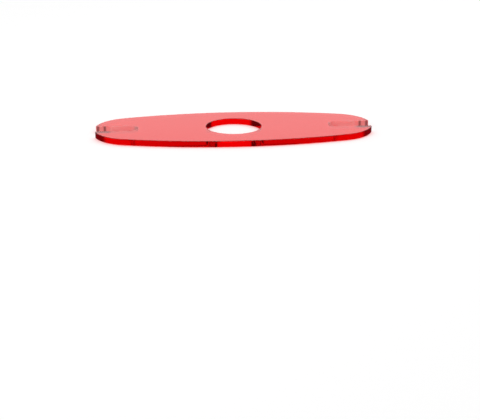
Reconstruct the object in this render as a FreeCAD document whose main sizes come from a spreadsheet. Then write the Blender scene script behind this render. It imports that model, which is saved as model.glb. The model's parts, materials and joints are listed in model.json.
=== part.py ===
import FreeCAD, Part
import enum
import math
import os

import Sketcher

# A flat holder cut in one piece from a sheet of clear red acrylic. It hangs by the
# hole in its middle, and a stem slides into the open slot at each of its ends.
# It lies flat here, with its underside on the XY plane, its length along X and the
# hole's axis on the origin. All sizes are in millimetres.

NODE = "holder_plate"

SIZES = {
    "oval_length": 203.0,
    "oval_width": 75.0,
    "end_radius": 28.0,
    "sheet_thickness": 4.5,
    "neck_hole_diameter": 40.5,
    "seat_spacing": 152.0,
    "slot_width": 12.7,
    "mouth_corner_radius": 1.0,
    "edge_break": 0.25,
}

# How near an edge must lie to a plane or a line to count as on it
NEAR = 1e-4


class Spot(enum.IntEnum):
    """Where on an element of a sketch a constraint holds."""

    START = enum.auto()
    END = enum.auto()
    CENTRE = enum.auto()


class Axis(enum.IntEnum):
    """A sketch's own axes. The X axis starts at the origin."""

    X = -1
    Y = -2


def make_sheet(doc):
    """Put the driving sizes into a spreadsheet, one named cell each."""
    sheet = doc.addObject("Spreadsheet::Sheet", "Sizes")
    for row, (alias, value) in enumerate(SIZES.items(), start=1):
        sheet.set(f"A{row}", alias)
        sheet.set(f"B{row}", str(value))
        sheet.setAlias(f"B{row}", alias)
    doc.recompute()
    return sheet


def new_sketch(body, name):
    """Start a sketch on the body's own XY plane, which is the plate's underside."""
    sketch = body.newObject("Sketcher::SketchObject", name)
    plane = next(item for item in body.Origin.OriginFeatures if item.Role == "XY_Plane")
    sketch.AttachmentSupport = [(plane, "")]
    sketch.MapMode = "FlatFace"
    return sketch


def drive(sketch, name, expression, *constraint):
    """Add a dimension to a sketch and tie it to the sheet."""
    index = sketch.addConstraint(Sketcher.Constraint(*constraint))
    sketch.renameConstraint(index, name)
    sketch.setExpression(f"Constraints.{name}", expression)


def arc(centre_x, centre_y, radius, start, end):
    """Return an arc in the sketch plane, anticlockwise from start to end in radians."""
    centre = FreeCAD.Vector(centre_x, centre_y, 0)
    circle = Part.Circle(centre, FreeCAD.Vector(0, 0, 1), radius)
    return Part.ArcOfCircle(circle, start, end)


def line(start, end):
    """Return a straight line in the sketch plane between two (x, y) points."""
    return Part.LineSegment(FreeCAD.Vector(*start, 0), FreeCAD.Vector(*end, 0))


def draw_outline(body, sheet):
    """Draw the oval: a small arc round each end, tangent to a wide arc along each side."""
    half_length = sheet.oval_length / 2
    half_width = sheet.oval_width / 2
    end_radius = sheet.end_radius
    end_centre = half_length - end_radius

    # The side arc passes the middle at half the width and touches both end arcs
    side_radius = (end_centre**2 + half_width**2 - end_radius**2) / (2 * (half_width - end_radius))
    side_centre = side_radius - half_width
    joint = math.atan2(side_centre, end_centre)

    sketch = new_sketch(body, "OutlineSketch")
    right, rear, left, front = (
        sketch.addGeometry(piece)
        for piece in (
            arc(end_centre, 0, end_radius, -joint, joint),
            arc(0, -side_centre, side_radius, joint, math.pi - joint),
            arc(-end_centre, 0, end_radius, math.pi - joint, math.pi + joint),
            arc(0, side_centre, side_radius, math.pi + joint, 2 * math.pi - joint),
        )
    )
    tip = sketch.addGeometry(Part.Point(FreeCAD.Vector(half_length, 0, 0)), True)
    crown = sketch.addGeometry(Part.Point(FreeCAD.Vector(0, half_width, 0)), True)

    for first, second in ((right, rear), (rear, left), (left, front), (front, right)):
        sketch.addConstraint(Sketcher.Constraint("Tangent", first, Spot.END, second, Spot.START))
    sketch.addConstraint([
        Sketcher.Constraint("PointOnObject", right, Spot.CENTRE, Axis.X),
        Sketcher.Constraint("PointOnObject", left, Spot.CENTRE, Axis.X),
        Sketcher.Constraint("PointOnObject", rear, Spot.CENTRE, Axis.Y),
        Sketcher.Constraint("Equal", right, left),
        Sketcher.Constraint("Equal", rear, front),
        Sketcher.Constraint("PointOnObject", tip, Spot.START, Axis.X),
        Sketcher.Constraint("PointOnObject", tip, Spot.START, right),
        Sketcher.Constraint("PointOnObject", crown, Spot.START, Axis.Y),
        Sketcher.Constraint("PointOnObject", crown, Spot.START, rear),
    ])
    drive(sketch, "end_radius", "Sizes.end_radius", "Radius", right, end_radius)
    drive(sketch, "half_length", "Sizes.oval_length / 2",
          "DistanceX", Axis.X, Spot.START, tip, Spot.START, half_length)
    drive(sketch, "half_width", "Sizes.oval_width / 2",
          "DistanceY", Axis.X, Spot.START, crown, Spot.START, half_width)
    return sketch


def draw_neck_hole(body, sheet):
    """Draw the round hole in the middle of the plate."""
    sketch = new_sketch(body, "NeckHoleSketch")
    circle = Part.Circle(FreeCAD.Vector(), FreeCAD.Vector(0, 0, 1), sheet.neck_hole_diameter / 2)
    hole = sketch.addGeometry(circle)
    sketch.addConstraint(Sketcher.Constraint("Coincident", hole, Spot.CENTRE, Axis.X, Spot.START))
    drive(sketch, "neck_hole_diameter", "Sizes.neck_hole_diameter",
          "Diameter", hole, sheet.neck_hole_diameter)
    return sketch


def draw_stem_slot(body, sheet):
    """Draw the slot at the right-hand end: a half-round seat with straight sides.

    The sides run on past the plate's end by one slot width, so that the slot is open.
    """
    seat = sheet.seat_spacing / 2
    half_slot = sheet.slot_width / 2
    past_end = sheet.oval_length / 2 + sheet.slot_width

    sketch = new_sketch(body, "StemSlotSketch")
    round_end = sketch.addGeometry(arc(seat, 0, half_slot, math.pi / 2, 3 * math.pi / 2))
    front_side = sketch.addGeometry(line((seat, -half_slot), (past_end, -half_slot)))
    mouth = sketch.addGeometry(line((past_end, -half_slot), (past_end, half_slot)))
    rear_side = sketch.addGeometry(line((past_end, half_slot), (seat, half_slot)))

    sketch.addConstraint([
        Sketcher.Constraint("PointOnObject", round_end, Spot.CENTRE, Axis.X),
        Sketcher.Constraint("Tangent", round_end, Spot.END, front_side, Spot.START),
        Sketcher.Constraint("Coincident", front_side, Spot.END, mouth, Spot.START),
        Sketcher.Constraint("Coincident", mouth, Spot.END, rear_side, Spot.START),
        Sketcher.Constraint("Tangent", rear_side, Spot.END, round_end, Spot.START),
        Sketcher.Constraint("Horizontal", front_side),
        Sketcher.Constraint("Horizontal", rear_side),
        Sketcher.Constraint("Vertical", mouth),
    ])
    drive(sketch, "seat_place", "Sizes.seat_spacing / 2",
          "DistanceX", Axis.X, Spot.START, round_end, Spot.CENTRE, seat)
    drive(sketch, "slot_width", "Sizes.slot_width",
          "DistanceY", mouth, Spot.START, mouth, Spot.END, sheet.slot_width)
    drive(sketch, "past_end", "Sizes.oval_length / 2 + Sizes.slot_width",
          "DistanceX", Axis.X, Spot.START, mouth, Spot.START, past_end)
    return sketch


def cut_through(body, sketch, name):
    """Cut a sketch up through the whole sheet, and make sure that it removed something."""
    before = body.Shape.Volume
    pocket = body.newObject("PartDesign::Pocket", name)
    pocket.Profile = sketch
    pocket.Type = "ThroughAll"
    pocket.Reversed = True
    body.Document.recompute()
    if not body.Shape.Volume < before - NEAR:
        raise RuntimeError(f"{name} removed nothing")
    return pocket


def mirror_to_left(body, feature, name):
    """Repeat a cut at the left-hand end, across the plate's middle."""
    before = body.Shape.Volume
    mirrored = body.newObject("PartDesign::Mirrored", name)
    mirrored.Originals = [feature]
    mirrored.MirrorPlane = (feature.Profile[0], ["V_Axis"])
    body.Tip = mirrored
    body.Document.recompute()
    if not body.Shape.Volume < before - NEAR:
        raise RuntimeError(f"{name} removed nothing")
    return mirrored


def edge_names(shape, wanted):
    """List the names of the edges of a shape that a test accepts."""
    return [f"Edge{number}" for number, edge in enumerate(shape.Edges, start=1) if wanted(edge)]


def round_mouth_corners(body, sheet):
    """Round the four upright corners where the slots' sides meet the plate's edge."""
    half_slot = sheet.slot_width / 2
    seat = sheet.seat_spacing / 2

    def at_mouth(edge):
        ends = [vertex.Point for vertex in edge.Vertexes]
        return len(ends) == 2 and abs(ends[0].z - ends[1].z) > NEAR and all(
            abs(abs(end.y) - half_slot) < NEAR and abs(end.x) > seat + half_slot for end in ends
        )

    slotted = body.Tip
    corners = edge_names(slotted.Shape, at_mouth)
    if len(corners) != 4:
        raise RuntimeError(f"expected 4 mouth corners, found {len(corners)}")
    fillet = body.newObject("PartDesign::Fillet", "MouthCorners")
    fillet.Base = (slotted, corners)
    fillet.setExpression("Radius", "Sizes.mouth_corner_radius")
    body.Document.recompute()
    return fillet


def break_edges(body, sheet):
    """Take the sharpness off every edge of the top and the underside."""

    def on_face(edge):
        box = edge.BoundBox
        flat = box.ZLength < NEAR
        return flat and (abs(box.ZMin) < NEAR or abs(box.ZMin - sheet.sheet_thickness) < NEAR)

    rounded = body.Tip
    rims = edge_names(rounded.Shape, on_face)
    chamfer = body.newObject("PartDesign::Chamfer", "EdgeBreak")
    chamfer.Base = (rounded, rims)
    chamfer.setExpression("Size", "Sizes.edge_break")
    body.Document.recompute()
    return chamfer


def make_plate(doc, sheet):
    """Build the plate: the oval sheet, its hole, its two slots and its worked edges."""
    body = doc.addObject("PartDesign::Body", "HolderPlate")
    body.Label = NODE

    blank = body.newObject("PartDesign::Pad", "Blank")
    blank.Profile = draw_outline(body, sheet)
    blank.setExpression("Length", "Sizes.sheet_thickness")
    doc.recompute()

    cut_through(body, draw_neck_hole(body, sheet), "NeckHole")
    slot = cut_through(body, draw_stem_slot(body, sheet), "StemSlot")
    mirror_to_left(body, slot, "StemSlotLeft")
    round_mouth_corners(body, sheet)
    break_edges(body, sheet)
    return body


def check(doc, body):
    """Stop if any object of the document failed, or if the plate isn't one sound solid."""
    for item in doc.Objects:
        if "Invalid" in item.State or "Error" in item.State:
            raise RuntimeError(f"{item.Label} failed: {item.State}")
        shape = getattr(item, "Shape", None)
        if shape is not None and not shape.isNull() and not shape.isValid():
            raise RuntimeError(f"{item.Label} has an unsound shape")
    if body.Shape.isNull() or len(body.Shape.Solids) != 1:
        raise RuntimeError(f"{body.Label} isn't one solid")


def main():
    """Build the document, check it and write the plate."""
    doc = FreeCAD.newDocument("Holder")
    sheet = make_sheet(doc)
    plate = make_plate(doc, sheet)
    doc.recompute()
    check(doc, plate)
    os.makedirs("parts", exist_ok=True)
    plate.Shape.exportStep(f"parts/{plate.Label}.step")
    print(f"{plate.Label}: {plate.Shape.Volume:.0f} mm3, {plate.Shape.BoundBox}")


main()
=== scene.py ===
"""The looks of a flat holder cut in one piece from clear red acrylic sheet.

The plate is an oval with a round neck hole in its middle and an open stem slot at each
end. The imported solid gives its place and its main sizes. Its form is made again here
with finer curves, because clear acrylic shows every facet of a wall from inside.
"""

import enum
import json
import logging
import math
from dataclasses import dataclass
from typing import Any

import bmesh
import bpy
from mathutils import Matrix, Vector


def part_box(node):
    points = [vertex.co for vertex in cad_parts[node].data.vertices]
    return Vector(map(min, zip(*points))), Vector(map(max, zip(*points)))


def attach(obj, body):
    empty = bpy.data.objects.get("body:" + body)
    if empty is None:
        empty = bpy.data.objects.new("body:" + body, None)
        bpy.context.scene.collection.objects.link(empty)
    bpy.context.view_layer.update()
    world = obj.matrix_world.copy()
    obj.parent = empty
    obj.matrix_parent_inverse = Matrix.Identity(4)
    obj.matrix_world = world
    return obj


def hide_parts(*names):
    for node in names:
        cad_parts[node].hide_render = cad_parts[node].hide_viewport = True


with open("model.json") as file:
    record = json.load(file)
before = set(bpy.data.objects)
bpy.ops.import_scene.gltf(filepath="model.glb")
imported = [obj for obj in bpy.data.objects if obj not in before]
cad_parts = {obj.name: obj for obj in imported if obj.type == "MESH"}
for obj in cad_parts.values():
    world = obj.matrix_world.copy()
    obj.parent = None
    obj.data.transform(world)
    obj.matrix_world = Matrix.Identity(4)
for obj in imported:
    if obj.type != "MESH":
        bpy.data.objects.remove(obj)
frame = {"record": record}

LOG = logging.getLogger("holder")

NODE = "holder_plate"
BODY = "root"

MM = 0.001
CUBIC_CM = 1e-6
# Points nearer to each other than this become one
WELD_DISTANCE = 0.001 * MM
# The photograph's width in pixels, and a full-frame sensor's in millimetres
IMAGE_WIDTH = 480
SENSOR_WIDTH = 36.0
# So many turns let light run the length of the plate inside it
LIGHT_BOUNCES = 64

# What a node's input takes: a link from another node, a number, or a colour or a vector
Feed = bpy.types.NodeSocket | float | tuple[float, ...]


def linear(code: str) -> tuple[float, float, float, float]:
    """Turn an sRGB hex colour into the linear one that Blender's sockets take.

    Args:
        code: Six hex digits, such as "FF8000".

    Returns:
        Linear red, green and blue, and an alpha of 1.
    """
    channels = [int(code[i:i + 2], 16) / 255 for i in (0, 2, 4)]
    red, green, blue = (
        c / 12.92 if c <= 0.04045 else ((c + 0.055) / 1.055) ** 2.4 for c in channels
    )
    return red, green, blue, 1.0


def add_node(
    tree: bpy.types.NodeTree,
    kind: str,
    inputs: dict[str | int, Any] | None = None,
    **settings: Any,
) -> bpy.types.Node:
    """Add a node with its settings, and fill or link its inputs.

    Args:
        tree: The node tree that gets the node.
        kind: The node's type, as Blender names it.
        inputs: A value, a socket or a list of sockets for each input, by name or place.
        settings: The node's own properties.

    Returns:
        The new node.
    """
    node = tree.nodes.new(kind)
    for name, value in settings.items():
        setattr(node, name, value)
    for name, value in (inputs or {}).items():
        for part in value if isinstance(value, list) else [value]:
            if isinstance(part, bpy.types.NodeSocket):
                tree.links.new(part, node.inputs[name])
            else:
                node.inputs[name].default_value = part
    return node


class Wall(enum.Enum):
    """How a stretch of the plate's edge was finished, with its share of cut marks."""

    POLISHED = 0.0
    AS_CUT = 1.0


@dataclass(frozen=True)
class Arc:
    """One round stretch of the plate's edge, in plan, in metres and radians."""

    name: str
    centre: Vector
    radius: float
    start: float
    end: float
    steps: int
    wall: Wall
    hollow: bool = False


@dataclass(frozen=True)
class Tone:
    """How a stretch of a slot's wall looks: its colour, and the share of light it lets through."""

    colour: str
    clearness: float


# The first two tones are the cut wall's finish, and the last two are painted: a dark reflection on the
# wall's face, and shade inside the sheet
HAZY = Tone("FFD6D4", 0.55)
SATIN = Tone("FF9290", 0.1)
PAINTED_REFLECTION = Tone("A05656", 0.1)
SHADED = Tone("86000A", 0.1)


@dataclass(frozen=True)
class SlotFinish:
    """The slots' walls, left as the cutter made them, which gives the eye a pale satin.

    Near the mouths the walls let little light through, and their tones there are painted: dark marks on
    the outer side are painted dark reflections, and the inner side is painted in shade, which darkens
    the ends of the front edge. A stop is a distance from the hole's axis along the plate, in
    millimetres, and the wall's tone there.
    The outer stops are seen from the air, with one painted dark mark near the mouth and one by its
    corner, and the inner stops from inside the sheet. The grooves' pitch and depth are in
    millimetres, and the stretch is how many times a groove is longer than it is wide.
    """

    outer_stops: tuple[tuple[float, Tone], ...] = (
        (88.2, HAZY),
        (90.6, SATIN),
        (92.7, SATIN),
        # Two painted dark reflections on the wall's face
        (93.7, PAINTED_REFLECTION),
        (94.3, PAINTED_REFLECTION),
        (95.3, SATIN),
        (97.5, SATIN),
        (98.5, PAINTED_REFLECTION),
        (99.5, PAINTED_REFLECTION),
        (100.2, SATIN),
    )
    # Seen from inside the sheet, the wall is painted in shade towards the mouth
    inner_stops: tuple[tuple[float, Tone], ...] = (
        (88.2, HAZY),
        (90.6, SHADED),
    )
    roughness: float = 0.25
    groove_pitch: float = 1.2
    groove_depth: float = 0.03
    groove_stretch: float = 40.0


@dataclass(frozen=True)
class PaintedEdgeShade:
    """The upper edge of the outline and of the hole, broken with a scraper and left dull.

    Its dark colour is painted shade: it gives the eye a thin dark line between the pink face and the
    red wall.
    """

    colour: str = "6A1014"
    clearness: float = 0.5
    roughness: float = 0.2


@dataclass(frozen=True)
class RedAcrylic:
    """Cast acrylic sheet (PMMA), dyed through in transparent red.

    The faces keep the gloss of the mould and the outer edge is polished, so the surface is
    clear and smooth. The dye stops green and blue within a few millimetres, and lets red
    run the whole width of the plate, which makes the edge glow deep red. The lamp share, a
    grey, is what each face lets through of a lamp's light.
    """

    name: str = "cast_acrylic_clear_red"
    refractive_index: float = 1.49
    body_colour: str = "FFFFFF"
    dye_colour: str = "FE9297"
    dye_per_metre: float = 700.0
    lamp_share: str = "FCFCFC"
    # The slots' walls carry painted reflections and painted shade near their mouths
    slot: SlotFinish = SlotFinish()
    # The upper edges carry a thin line of painted shade
    edge: PaintedEdgeShade = PaintedEdgeShade()

    def make(self) -> bpy.types.Material:
        """Build the material.

        Returns:
            Clear acrylic with the dye as an absorbing volume.
        """
        material = bpy.data.materials.new(self.name)
        material.use_nodes = True
        tree = material.node_tree
        tree.nodes.clear()

        # Rays from lamps and from the floor cross the plate straight, tinted by the dye
        ray = add_node(tree, "ShaderNodeLightPath")
        straight = add_node(tree, "ShaderNodeMath", {
            0: ray.outputs["Is Shadow Ray"], 1: ray.outputs["Is Diffuse Ray"],
        }, operation="MAXIMUM")
        through = add_node(tree, "ShaderNodeBsdfTransparent", {"Color": linear(self.lamp_share)})
        surface = add_node(tree, "ShaderNodeMixShader", {
            0: straight.outputs[0], 1: self.acrylic(tree), 2: through.outputs[0],
        })
        dye = add_node(tree, "ShaderNodeVolumeAbsorption", {
            "Color": linear(self.dye_colour), "Density": self.dye_per_metre,
        })
        add_node(tree, "ShaderNodeOutputMaterial", {
            "Surface": surface.outputs[0], "Volume": dye.outputs[0],
        })
        return material

    def acrylic(self, tree: bpy.types.NodeTree) -> bpy.types.NodeSocket:
        """Lay the upper edge's painted shade over the polished finish, and the slot walls' finish, with
        its painted marks, over both.

        Args:
            tree: The material's node tree.

        Returns:
            The shader of the surface.
        """
        scraped = add_node(tree, "ShaderNodeAttribute", attribute_name=PlateTree.SCRAPED).outputs["Fac"]
        cut = add_node(tree, "ShaderNodeAttribute", attribute_name=PlateTree.CUT_MARKS).outputs["Fac"]
        # The upper edge's dark colour is painted shade
        edge = (linear(self.edge.colour), self.edge.clearness, self.edge.roughness)
        wall = (*self.wall_tones(tree), self.slot.roughness)
        colour: Feed = linear(self.body_colour)
        clearness: Feed = 1.0
        roughness: Feed = 0.0
        # A mix takes its two numbers at inputs 2 and 3, and its two colours at 6 and 7
        for share, (tone, clear, rough) in ((scraped, edge), (cut, wall)):
            colour = add_node(tree, "ShaderNodeMix", {
                0: share, 6: colour, 7: tone,
            }, data_type="RGBA").outputs[2]
            clearness = add_node(tree, "ShaderNodeMix", {
                0: share, 2: clearness, 3: clear,
            }).outputs[0]
            roughness = add_node(tree, "ShaderNodeMix", {
                0: share, 2: roughness, 3: rough,
            }).outputs[0]
        return add_node(tree, "ShaderNodeBsdfPrincipled", {
            "Base Color": colour,
            "Roughness": roughness,
            "IOR": self.refractive_index,
            "Transmission Weight": clearness,
            "Normal": self.grooves(tree, cut),
        }).outputs[0]

    def wall_tones(
        self, tree: bpy.types.NodeTree
    ) -> tuple[bpy.types.NodeSocket, bpy.types.NodeSocket]:
        """Lay the tones along the slots' walls, with their painted reflections and shade, one set for
        each side of the surface.

        Args:
            tree: The material's node tree.

        Returns:
            The walls' colour and their clearness.
        """
        place = add_node(tree, "ShaderNodeTexCoord")
        axes = add_node(tree, "ShaderNodeSeparateXYZ", {0: place.outputs["Object"]})
        reach = add_node(tree, "ShaderNodeMath", {0: axes.outputs[0]}, operation="ABSOLUTE")
        ramps: list[bpy.types.Node] = []
        for stops in (self.slot.outer_stops, self.slot.inner_stops):
            start, end = stops[0][0], stops[-1][0]
            along = add_node(tree, "ShaderNodeMapRange", {
                "Value": reach.outputs[0], "From Min": start * MM, "From Max": end * MM,
            })
            ramp = add_node(tree, "ShaderNodeValToRGB", {0: along.outputs[0]})
            elements = ramp.color_ramp.elements
            for distance, _ in stops[1:-1]:
                elements.new((distance - start) / (end - start))
            for element, (_, tone) in zip(elements, stops):
                element.color = (*linear(tone.colour)[:3], tone.clearness)
            ramps.append(ramp)

        inside = add_node(tree, "ShaderNodeNewGeometry").outputs["Backfacing"]
        colour = add_node(tree, "ShaderNodeMix", {
            0: inside, 6: ramps[0].outputs["Color"], 7: ramps[1].outputs["Color"],
        }, data_type="RGBA")
        clearness = add_node(tree, "ShaderNodeMix", {
            0: inside, 2: ramps[0].outputs["Alpha"], 3: ramps[1].outputs["Alpha"],
        })
        return colour.outputs[2], clearness.outputs[0]

    def grooves(
        self, tree: bpy.types.NodeTree, cut: bpy.types.NodeSocket
    ) -> bpy.types.NodeSocket:
        """Roughen the slots' walls with upright grooves.

        Real ones are about 0.2 mm apart. They are drawn six times as wide, so that they show.

        Args:
            tree: The material's node tree.
            cut: Where the wall is as cut.

        Returns:
            The bumped normal.
        """
        place = add_node(tree, "ShaderNodeTexCoord")
        across = 1 / (self.slot.groove_pitch * MM)
        upright = add_node(tree, "ShaderNodeVectorMath", {
            0: place.outputs["Object"], 1: (across, across, across / self.slot.groove_stretch),
        }, operation="MULTIPLY")
        steps = add_node(tree, "ShaderNodeTexNoise", {"Vector": upright.outputs[0], "Scale": 1.0})
        bumped = add_node(tree, "ShaderNodeBump", {
            "Strength": cut, "Distance": self.slot.groove_depth * MM, "Height": steps.outputs[0],
        })
        return bumped.outputs[0]


@dataclass
class HolderPlate:
    """The plate: a four-arc oval with a hole, two open slots and softened edges.

    Its hole, seats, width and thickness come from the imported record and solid, and the
    other lengths are the plate's own driving sizes, in metres. The steps are how many
    edges each arc gets, and faces that meet at less than the crease are shaded smooth.
    """

    hole_radius: float
    seat_distance: float
    slot_half_width: float
    half_width: float
    thickness: float
    half_length: float = 101.5 * MM
    end_radius: float = 28.0 * MM
    mouth_radius: float = 1.0 * MM
    edge_break: float = 0.25 * MM
    seat_steps: int = 36
    mouth_steps: int = 24
    end_steps: int = 72
    side_steps: int = 96
    hole_steps: int = 288
    edge_steps: int = 5
    crease: float = math.radians(6)
    finish: RedAcrylic = RedAcrylic()

    @classmethod
    def from_frame(cls) -> "HolderPlate":
        """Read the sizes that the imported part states.

        Returns:
            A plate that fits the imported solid.
        """
        mounts = {mount["name"]: mount for mount in frame["record"]["mounts"]}
        seat = mounts["right_stem_seat"]
        low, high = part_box(NODE)
        return cls(
            hole_radius=mounts["neck_hole"]["dims"]["r_mm"] * MM,
            seat_distance=seat["pos_m"][0],
            slot_half_width=seat["dims"]["r_mm"] * MM,
            half_width=(high.y - low.y) / 2,
            thickness=high.z - low.z,
        )

    def quarter(self) -> list[Arc]:
        """Work out the round stretches of one quarter, from the slot's seat to the side.

        Returns:
            The seat, the mouth's corner, the end and the side, each tangent to the next.
        """
        end_x = self.half_length - self.end_radius
        side_radius = (end_x**2 + self.half_width**2 - self.end_radius**2) / (
            2 * (self.half_width - self.end_radius)
        )
        side_y = self.half_width - side_radius
        end_to_side = math.atan2(-side_y, end_x)
        mouth_y = self.slot_half_width + self.mouth_radius
        mouth_reach = math.sqrt((self.end_radius - self.mouth_radius) ** 2 - mouth_y**2)
        mouth_to_end = math.atan2(mouth_y, mouth_reach)
        right = math.pi / 2
        return [
            Arc("Seat", Vector((self.seat_distance, 0, 0)), self.slot_half_width,
                math.pi, right, self.seat_steps, Wall.AS_CUT, hollow=True),
            Arc("Mouth", Vector((end_x + mouth_reach, mouth_y, 0)), self.mouth_radius,
                -right, mouth_to_end, self.mouth_steps, Wall.AS_CUT),
            Arc("End", Vector((end_x, 0, 0)), self.end_radius,
                mouth_to_end, end_to_side, self.end_steps, Wall.POLISHED),
            Arc("Side", Vector((0, side_y, 0)), side_radius,
                end_to_side, right, self.side_steps, Wall.POLISHED),
        ]

    def build(self) -> bpy.types.Object:
        """Make the plate in its material.

        Returns:
            The dressed plate, at the origin and unturned.
        """
        mesh = self.grow(self.finish.make())
        mesh.name = "clear_red_plate"
        self.turn_outward(mesh)
        plate = bpy.data.objects.new("clear_red_plate", mesh)
        bpy.context.scene.collection.objects.link(plate)
        return plate

    def grow(self, material: bpy.types.Material) -> bpy.types.Mesh:
        """Grow the plate from its tree and keep the result as a plain mesh.

        Args:
            material: What the plate is made of.

        Returns:
            The mesh, which holds the material.
        """
        grower = PlateTree(self, material)
        host = bpy.data.objects.new("holder_plate_tree", bpy.data.meshes.new("empty"))
        bpy.context.scene.collection.objects.link(host)
        modifier = host.modifiers.new("plate", "NODES")
        modifier.node_group = grower.tree
        for identifier, value in grower.values.items():
            modifier[identifier] = value
        evaluated = host.evaluated_get(bpy.context.evaluated_depsgraph_get())
        mesh = bpy.data.meshes.new_from_object(evaluated)
        host.modifiers.remove(modifier)
        bpy.data.objects.remove(host)
        return mesh

    def turn_outward(self, mesh: bpy.types.Mesh) -> None:
        """Turn every face outward, and log whether the plate is closed.

        Args:
            mesh: The plate's mesh.
        """
        shell = bmesh.new()
        shell.from_mesh(mesh)
        bmesh.ops.recalc_face_normals(shell, faces=shell.faces)
        loose = sum(not edge.is_manifold for edge in shell.edges)
        volume = shell.calc_volume()
        shell.to_mesh(mesh)
        shell.free()
        LOG.info(
            "plate: %d faces, %d open edges, %.2f cm3",
            len(mesh.polygons), loose, volume / CUBIC_CM,
        )


class PlateTree:
    """The Geometry Nodes tree that draws the plate's outline and builds its walls on it."""

    OUTWARD = "outward"
    CUT_MARKS = "cut_marks"
    # Faces of the upper edge, painted dark as shade
    SCRAPED = "scraped"

    def __init__(self, plate: HolderPlate, material: bpy.types.Material) -> None:
        """Build the whole tree.

        Args:
            plate: The sizes, which become the tree's named inputs.
            material: What the finished mesh is made of.
        """
        self.plate = plate
        self.values: dict[str, float | Vector] = {}
        self.tree = bpy.data.node_groups.new("holder_plate_tree", "GeometryNodeTree")
        self.inputs = add_node(self.tree, "NodeGroupInput")
        rim = self.join([self.outer_edge(), self.hole_edge()])
        shell = self.join([self.walls(rim), *self.faces(rim)])
        self.finish(shell, material)

    def size(self, name: str, value: float | Vector) -> bpy.types.NodeSocket:
        """Give the tree a named input, and note the value that its modifier sets.

        Args:
            name: The input's name.
            value: A length or an angle, or a place.

        Returns:
            The socket that carries the value inside the tree.
        """
        kind = "NodeSocketVector" if isinstance(value, Vector) else "NodeSocketFloat"
        item = self.tree.interface.new_socket(name, in_out="INPUT", socket_type=kind)
        self.values[item.identifier] = value
        return self.inputs.outputs[name]

    def join(self, parts: list[bpy.types.NodeSocket]) -> bpy.types.NodeSocket:
        """Put several geometries into one and weld the points that meet.

        Args:
            parts: The geometries.

        Returns:
            The welded whole.
        """
        joined = add_node(self.tree, "GeometryNodeJoinGeometry", {0: parts})
        welded = add_node(self.tree, "GeometryNodeMergeByDistance", {
            "Geometry": joined.outputs[0], "Distance": WELD_DISTANCE,
        })
        return welded.outputs[0]

    def store(
        self,
        geometry: bpy.types.NodeSocket,
        name: str,
        value: Feed,
        kind: str,
        domain: str = "POINT",
        where: bpy.types.NodeSocket | None = None,
    ) -> bpy.types.NodeSocket:
        """Keep a value on every point or face under a name.

        Args:
            geometry: What carries the value.
            name: The attribute's name.
            value: The value or the field that gives it.
            kind: The attribute's data type.
            domain: Whether points or faces keep it.
            where: Which of them do, or all of them.

        Returns:
            The geometry with the attribute.
        """
        kept = add_node(self.tree, "GeometryNodeStoreNamedAttribute", {
            "Geometry": geometry, "Name": name,
        }, data_type=kind, domain=domain)
        if where is not None:
            self.tree.links.new(where, kept.inputs["Selection"])
        taker = next(item for item in kept.inputs if item.name == "Value" and item.enabled)
        if isinstance(value, bpy.types.NodeSocket):
            self.tree.links.new(value, taker)
        else:
            taker.default_value = value
        return kept.outputs[0]

    def outward(self) -> bpy.types.NodeSocket:
        """Read back the direction out of the material in plan.

        Returns:
            The direction, with 1 for its height, so that it scales a stride up as well.
        """
        return add_node(self.tree, "GeometryNodeInputNamedAttribute", {
            "Name": self.OUTWARD,
        }, data_type="FLOAT_VECTOR").outputs[0]

    def round_stretch(self, arc: Arc) -> bpy.types.NodeSocket:
        """Draw one arc of the plate's edge, with its outward direction and its finish.

        Args:
            arc: The arc's sizes, which become named inputs.

        Returns:
            The arc as a curve.
        """
        drawn = add_node(self.tree, "GeometryNodeCurveArc", {
            "Resolution": arc.steps + 1,
            "Radius": self.size(f"{arc.name} Radius", arc.radius),
            "Start Angle": self.size(f"{arc.name} Start", arc.start),
            "Sweep Angle": self.size(f"{arc.name} Sweep", arc.end - arc.start),
        }, mode="RADIUS")
        place = add_node(self.tree, "GeometryNodeInputPosition")
        ray = add_node(self.tree, "ShaderNodeVectorMath", {0: place.outputs[0]}, operation="NORMALIZE")
        side = -1.0 if arc.hollow else 1.0
        spread = add_node(self.tree, "ShaderNodeVectorMath", {
            0: ray.outputs[0], 1: (side, side, 1.0), 2: (0.0, 0.0, 1.0),
        }, operation="MULTIPLY_ADD")
        facing = self.store(drawn.outputs["Curve"], self.OUTWARD, spread.outputs[0], "FLOAT_VECTOR")
        marked = self.store(facing, self.CUT_MARKS, arc.wall.value, "FLOAT")
        moved = add_node(self.tree, "GeometryNodeSetPosition", {
            "Geometry": marked, "Offset": self.size(f"{arc.name} Centre", arc.centre),
        })
        return moved.outputs[0]

    def slot_side(self, seat: Arc, mouth: Arc) -> bpy.types.NodeSocket:
        """Draw the slot's straight side, from its seat to its mouth's corner.

        Args:
            seat: The half-round inner end.
            mouth: The rounded corner at the open end.

        Returns:
            The side as a curve.
        """
        start = seat.centre + Vector((0, seat.radius, 0))
        end = mouth.centre - Vector((0, mouth.radius, 0))
        drawn = add_node(self.tree, "GeometryNodeCurvePrimitiveLine", {
            "Start": self.size("Slot Side Start", start), "End": self.size("Slot Side End", end),
        })
        facing = self.store(drawn.outputs[0], self.OUTWARD, (0.0, -1.0, 1.0), "FLOAT_VECTOR")
        return self.store(facing, self.CUT_MARKS, Wall.AS_CUT.value, "FLOAT")

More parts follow.
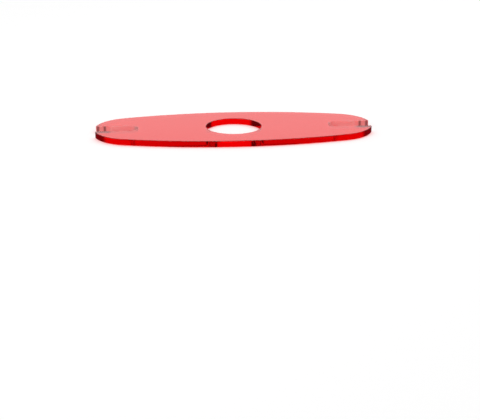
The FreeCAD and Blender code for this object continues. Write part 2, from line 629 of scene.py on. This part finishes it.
    def mirrored(
        self, half: bpy.types.NodeSocket, flip: tuple[float, float, float]
    ) -> bpy.types.NodeSocket:
        """Join a piece of the outline to its mirror image, its outward directions too.

        Args:
            half: The piece that lies on one side.
            flip: The scale that mirrors it, -1 along one axis.

        Returns:
            Both pieces, welded where they meet.
        """
        image = add_node(self.tree, "GeometryNodeTransform", {"Geometry": half, "Scale": flip})
        turned = add_node(self.tree, "ShaderNodeVectorMath", {
            0: self.outward(), 1: flip,
        }, operation="MULTIPLY")
        facing = self.store(image.outputs[0], self.OUTWARD, turned.outputs[0], "FLOAT_VECTOR")
        return self.join([half, facing])

    def outer_edge(self) -> bpy.types.NodeSocket:
        """Draw the whole outline with its slots.

        Returns:
            A closed loop of edges.
        """
        arcs = self.plate.quarter()
        pieces = [self.round_stretch(arc) for arc in arcs]
        pieces.append(self.slot_side(arcs[0], arcs[1]))
        curves = add_node(self.tree, "GeometryNodeJoinGeometry", {0: pieces})
        wire = add_node(self.tree, "GeometryNodeCurveToMesh", {"Curve": curves.outputs[0]})
        half = self.mirrored(wire.outputs[0], (1.0, -1.0, 1.0))
        return self.mirrored(half, (-1.0, 1.0, 1.0))

    def hole_edge(self) -> bpy.types.NodeSocket:
        """Draw the neck hole's rim, whose two ends the next join welds.

        Returns:
            A loop of edges.
        """
        around = Arc("Hole", Vector((0, 0, 0)), self.plate.hole_radius,
                     0.0, 2 * math.pi, self.plate.hole_steps, Wall.POLISHED, hollow=True)
        curve = self.round_stretch(around)
        return add_node(self.tree, "GeometryNodeCurveToMesh", {"Curve": curve}).outputs[0]

    def section(self) -> list[tuple[float, float]]:
        """List how far in and how far up the softened edge runs, as shares of the edge break."""
        turns = [math.pi / 2 * i / self.plate.edge_steps for i in range(self.plate.edge_steps + 1)]
        return [(1 - math.sin(turn), 1 - math.cos(turn)) for turn in turns]

    def inset(self, rim: bpy.types.NodeSocket) -> bpy.types.NodeSocket:
        """Draw the rim in by the edge break, where the flat faces end.

        Args:
            rim: The outline and the hole's rim, at the underside.

        Returns:
            The rim of a flat face.
        """
        back = add_node(self.tree, "ShaderNodeVectorMath", {
            0: (-1.0, -1.0, 0.0), "Scale": self.inputs.outputs["Edge Break"],
        }, operation="SCALE")
        shift = add_node(self.tree, "ShaderNodeVectorMath", {
            0: self.outward(), 1: back.outputs[0],
        }, operation="MULTIPLY")
        return add_node(self.tree, "GeometryNodeSetPosition", {
            "Geometry": rim, "Offset": shift.outputs[0],
        }).outputs[0]

    def strips(self) -> list[tuple[tuple[float, float, float], bpy.types.NodeSocket, bool]]:
        """List the strips of a wall, from the underside up.

        Returns:
            Each strip's stride out and up, the length that it is a share of, and whether
            it carries the upper edge's painted shade.
        """
        edge_break = self.size("Edge Break", self.plate.edge_break)
        thickness = self.size("Thickness", self.plate.thickness)
        upright = add_node(self.tree, "ShaderNodeMath", {
            0: edge_break, 1: -2.0, 2: thickness,
        }, operation="MULTIPLY_ADD")
        points = self.section()
        strides = [(a[0] - b[0], b[1] - a[1]) for a, b in zip(points, points[1:])]
        lower = [((out, out, up), edge_break, False) for out, up in strides]
        upper = [((-out, -out, up), edge_break, True) for out, up in reversed(strides)]
        return [*lower, ((0.0, 0.0, 1.0), upright.outputs[0], False), *upper]

    def walls(self, rim: bpy.types.NodeSocket) -> bpy.types.NodeSocket:
        """Raise the walls from the rim, one strip at a time, softened below and above.

        Args:
            rim: The outline and the hole's rim, at the underside.

        Returns:
            The walls, open at both flat faces.
        """
        strips = self.strips()
        grown = self.inset(rim)
        front: bpy.types.NodeSocket | None = None
        for direction, length, scraped in strips:
            strip = add_node(self.tree, "GeometryNodeExtrudeMesh", {
                "Mesh": grown, "Offset Scale": 0.0,
            }, mode="EDGES")
            if front is not None:
                self.tree.links.new(front, strip.inputs["Selection"])
            front = strip.outputs["Top"]
            stride = add_node(self.tree, "ShaderNodeVectorMath", {
                0: direction, "Scale": length,
            }, operation="SCALE")
            shift = add_node(self.tree, "ShaderNodeVectorMath", {
                0: self.outward(), 1: stride.outputs[0],
            }, operation="MULTIPLY")
            grown = add_node(self.tree, "GeometryNodeSetPosition", {
                "Geometry": strip.outputs["Mesh"], "Selection": front, "Offset": shift.outputs[0],
            }).outputs[0]
            # The upper strips are painted dark as shade
            if scraped:
                side = strip.outputs["Side"]
                grown = self.store(grown, self.SCRAPED, 1.0, "FLOAT", "FACE", side)
        marks = add_node(self.tree, "GeometryNodeInputNamedAttribute", {
            "Name": self.CUT_MARKS,
        }, data_type="FLOAT")
        return self.store(grown, self.CUT_MARKS, marks.outputs[0], "FLOAT", "FACE")

    def faces(self, rim: bpy.types.NodeSocket) -> list[bpy.types.NodeSocket]:
        """Fill the underside and the top face between the outline and the hole.

        Args:
            rim: The outline and the hole's rim, at the underside.

        Returns:
            The underside and the top face.
        """
        loops = add_node(self.tree, "GeometryNodeMeshToCurve", {"Mesh": self.inset(rim)})
        filled = add_node(self.tree, "GeometryNodeFillCurve", {"Curve": loops.outputs[0]})
        under = self.store(filled.outputs[0], self.CUT_MARKS, Wall.POLISHED.value, "FLOAT", "FACE")
        rise = add_node(self.tree, "ShaderNodeCombineXYZ", {
            "Z": self.inputs.outputs["Thickness"],
        })
        top = add_node(self.tree, "GeometryNodeTransform", {
            "Geometry": under, "Translation": rise.outputs[0],
        })
        return [under, top.outputs[0]]

    def finish(self, shell: bpy.types.NodeSocket, material: bpy.types.Material) -> None:
        """Smooth the walls, keep the corners crisp and hand the mesh out.

        Args:
            shell: The closed plate.
            material: What it is made of.
        """
        angle = add_node(self.tree, "GeometryNodeInputMeshEdgeAngle")
        gentle = add_node(self.tree, "FunctionNodeCompare", {
            0: angle.outputs["Unsigned Angle"], 1: self.plate.crease,
        }, data_type="FLOAT", operation="LESS_THAN")
        smooth = add_node(self.tree, "GeometryNodeSetShadeSmooth", {
            0: shell, "Shade Smooth": gentle.outputs[0],
        }, domain="EDGE")
        real = add_node(self.tree, "GeometryNodeRealizeInstances", {0: smooth.outputs[0]})
        dressed = add_node(self.tree, "GeometryNodeSetMaterial", {
            "Geometry": real.outputs[0], "Material": material,
        })
        self.tree.interface.new_socket("Geometry", in_out="OUTPUT", socket_type="NodeSocketGeometry")
        add_node(self.tree, "NodeGroupOutput", {0: dressed.outputs[0]})


@dataclass
class Studio:
    """A plain white floor under even, soft light.

    Lengths are in metres and powers in watts, the lamps' places are in plan, and shares are
    parts of the background's strength. The floor fades out between two distances. The two
    dark panels behind the plate fade in between pairs of measures on a direction of length
    1: how far it points aside for each unit back and up, how far back, and how far up.
    """

    floor_size: float = 12.0
    floor_gap: float = 0.3 * MM
    floor_fade: tuple[float, float] = (0.4, 1.2)
    floor_colour: str = "FFFFFF"
    mirrored_floor_colour: str = "1C1C2E"
    backdrop_colour: str = "FFFFFF"
    sky_share: float = 0.64
    lamp_size: float = 1.6
    lamp_height: float = 1.5
    lamp_power: float = 9.9
    key_place: tuple[float, float] = (-0.9, -0.5)
    fill_place: tuple[float, float] = (0.9, 0.7)
    panel_share: float = 0.12
    panel_aside: tuple[float, float] = (0.32, 0.45)
    panel_back: tuple[float, float] = (0.3, 0.4)
    panel_up: tuple[float, float] = (0.5, 0.35)
    least_divisor: float = 0.001

    def build(self) -> None:
        """Lay the floor, light it and set the surroundings."""
        self.lay_floor()
        self.hang_lamp("key_softbox", self.key_place)
        self.hang_lamp("fill_softbox", self.fill_place)
        self.set_surroundings()

    def lay_floor(self) -> None:
        """Lay a matt white sheet just below the plate, so that air lies between them."""
        half = self.floor_size / 2
        mesh = bpy.data.meshes.new("floor")
        corners = [(-half, -half), (half, -half), (half, half), (-half, half)]
        mesh.from_pydata([(x, y, -self.floor_gap) for x, y in corners], [], [(0, 1, 2, 3)])
        mesh.materials.append(self.white_board())
        floor = bpy.data.objects.new("floor", mesh)
        bpy.context.scene.collection.objects.link(floor)

    def white_board(self) -> bpy.types.Material:
        """Build the floor's material: board painted matt white, without sheen or grain.

        Returns:
            The board, which runs into the white background far from the plate.
        """
        material = bpy.data.materials.new("matt_white_board")
        material.use_nodes = True
        tree = material.node_tree
        tree.nodes.clear()
        # In mirrors the floor is painted dark, a painted reflection, or a pale sheen would lie over the
        # polished edge's red
        ray = add_node(tree, "ShaderNodeLightPath")
        mirrored = add_node(tree, "ShaderNodeMath", {
            0: ray.outputs["Is Reflection Ray"], 1: ray.outputs["Is Glossy Ray"],
        }, operation="MULTIPLY")
        tone = add_node(tree, "ShaderNodeMix", {
            0: mirrored.outputs[0], 6: linear(self.floor_colour),
            7: linear(self.mirrored_floor_colour),
        }, data_type="RGBA")
        board = add_node(tree, "ShaderNodeBsdfDiffuse", {"Color": tone.outputs[2]})
        # Far from the plate the camera sees the floor run into the white background
        place = add_node(tree, "ShaderNodeTexCoord")
        reach = add_node(tree, "ShaderNodeVectorMath", {0: place.outputs["Object"]}, operation="LENGTH")
        far = add_node(tree, "ShaderNodeMapRange", {
            "Value": reach.outputs["Value"], "To Max": ray.outputs["Is Camera Ray"],
            "From Min": self.floor_fade[0], "From Max": self.floor_fade[1],
        }, interpolation_type="SMOOTHSTEP")
        white = add_node(tree, "ShaderNodeEmission", {"Color": linear(self.backdrop_colour)})
        surface = add_node(tree, "ShaderNodeMixShader", {
            0: far.outputs[0], 1: board.outputs[0], 2: white.outputs[0],
        })
        add_node(tree, "ShaderNodeOutputMaterial", {"Surface": surface.outputs[0]})
        material.cycles.emission_sampling = "NONE"
        return material

    def hang_lamp(self, name: str, place: tuple[float, float]) -> None:
        """Hang a square soft lamp that faces the plate.

        Args:
            name: The lamp's name.
            place: Where its middle hangs, in plan.
        """
        light = bpy.data.lights.new(name, "AREA")
        light.shape = "SQUARE"
        light.size = self.lamp_size
        light.energy = self.lamp_power
        middle = Vector((*place, self.lamp_height))
        lamp = bpy.data.objects.new(name, light)
        lamp.matrix_world = Matrix.Translation(middle) @ (
            middle.to_track_quat("Z", "Y").to_matrix().to_4x4()
        )
        # Mirrored in the flat face, the lamp's edge would look like a crease
        lamp.visible_glossy = False
        bpy.context.scene.collection.objects.link(lamp)

    def set_surroundings(self) -> None:
        """Surround the plate with white, which lights matt things at a share of its strength."""
        world = bpy.data.worlds.new("white_room")
        bpy.context.scene.world = world
        world.use_nodes = True
        tree = world.node_tree
        tree.nodes.clear()
        ray = add_node(tree, "ShaderNodeLightPath")
        mirrored = add_node(tree, "ShaderNodeMapRange", {
            "Value": ray.outputs["Is Glossy Ray"], "To Min": self.sky_share, "To Max": 1.0,
        })
        # Light that has run through the sheet shows the dark panels, and mirrored light doesn't
        through = add_node(tree, "ShaderNodeMapRange", {
            "Value": ray.outputs["Is Transmission Ray"],
            "To Min": mirrored.outputs[0], "To Max": self.dark_panels(tree),
        })
        strength = add_node(tree, "ShaderNodeMapRange", {
            "Value": ray.outputs["Is Camera Ray"], "To Min": through.outputs[0], "To Max": 1.0,
        })
        sky = add_node(tree, "ShaderNodeBackground", {
            "Color": linear(self.backdrop_colour), "Strength": strength.outputs[0],
        })
        add_node(tree, "ShaderNodeOutputWorld", {"Surface": sky.outputs[0]})

    def dark_panels(self, tree: bpy.types.NodeTree) -> bpy.types.NodeSocket:
        """Stand a low dark panel on each side behind the plate.

        Seen through the sheet, they darken the ends of the hole's rear wall and the seats.

        Args:
            tree: The world's node tree.

        Returns:
            The strength of the surroundings, 1 but for the panels.
        """
        direction = add_node(tree, "ShaderNodeTexCoord")
        axes = add_node(tree, "ShaderNodeSeparateXYZ", {0: direction.outputs["Generated"]})
        aside = add_node(tree, "ShaderNodeMath", {0: axes.outputs[0]}, operation="ABSOLUTE")
        back_and_up = add_node(tree, "ShaderNodeMath", {
            0: axes.outputs[1], 1: axes.outputs[2],
        }, operation="ADD")
        # In front of the plate the sum is negative, and nothing may be divided by 0
        divisor = add_node(tree, "ShaderNodeMath", {
            0: back_and_up.outputs[0], 1: self.least_divisor,
        }, operation="MAXIMUM")
        lean = add_node(tree, "ShaderNodeMath", {
            0: aside.outputs[0], 1: divisor.outputs[0],
        }, operation="DIVIDE")
        dark: Feed = 1.0
        for measure, fade in (
            (lean.outputs[0], self.panel_aside),
            (axes.outputs[1], self.panel_back),
            (axes.outputs[2], self.panel_up),
        ):
            dark = add_node(tree, "ShaderNodeMapRange", {
                "Value": measure, "To Max": dark, "From Min": fade[0], "From Max": fade[1],
            }, interpolation_type="SMOOTHSTEP").outputs[0]
        return add_node(tree, "ShaderNodeMapRange", {
            "Value": dark, "To Min": 1.0, "To Max": self.panel_share,
        }).outputs[0]


@dataclass
class PhotoCamera:
    """The camera of the photograph, solved against the plate as it hung there.

    The plate hung a little turned, tipped and rolled. Here it lies flat, so the camera
    takes those angles on instead. Lengths are in metres, angles in degrees and the focal
    length in the photograph's pixels.
    """

    focal_pixels: float = 1265.0
    pitch: float = 21.092
    height: float = 275.3 * MM
    distance: float = 884.4 * MM
    aside: float = 4.6 * MM
    plate_yaw: float = 4.2
    plate_tilt: float = -1.11
    plate_roll: float = -0.11
    nearest: float = 0.01
    furthest: float = 100.0

    def build(self, top: float) -> None:
        """Set the camera up.

        Args:
            top: The height of the plate's top face, which the solution was measured from.
        """
        data = bpy.data.cameras.new("photo_camera")
        data.sensor_width = SENSOR_WIDTH
        data.lens = self.focal_pixels * SENSOR_WIDTH / IMAGE_WIDTH
        data.clip_start = self.nearest
        data.clip_end = self.furthest
        camera = bpy.data.objects.new("photo_camera", data)
        hung = (
            Matrix.Rotation(math.radians(self.plate_roll), 4, "Y")
            @ Matrix.Rotation(math.radians(self.plate_tilt), 4, "X")
            @ Matrix.Rotation(math.radians(self.plate_yaw), 4, "Z")
        )
        stood = Matrix.Translation((self.aside, -self.distance, self.height)) @ Matrix.Rotation(
            math.radians(90 - self.pitch), 4, "X"
        )
        camera.matrix_world = Matrix.Translation((0, 0, top)) @ hung.inverted() @ stood
        bpy.context.scene.collection.objects.link(camera)
        bpy.context.scene.camera = camera


def set_render_options() -> None:
    """Show colours as they are, and let light turn often inside the plate."""
    scene = bpy.context.scene
    scene.view_settings.view_transform = "Standard"
    scene.cycles.max_bounces = LIGHT_BOUNCES
    scene.cycles.glossy_bounces = LIGHT_BOUNCES
    scene.cycles.transmission_bounces = LIGHT_BOUNCES


def main() -> None:
    """Build the plate, the studio and the camera."""
    logging.basicConfig(level=logging.INFO, format="%(name)s: %(message)s")
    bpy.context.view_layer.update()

    plate = HolderPlate.from_frame()
    piece = plate.build()
    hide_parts(NODE)
    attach(piece, BODY)
    LOG.info("plate rides on %s", BODY)

    Studio().build()
    PhotoCamera().build(plate.thickness)
    set_render_options()


if __name__ == "__main__":
    main()
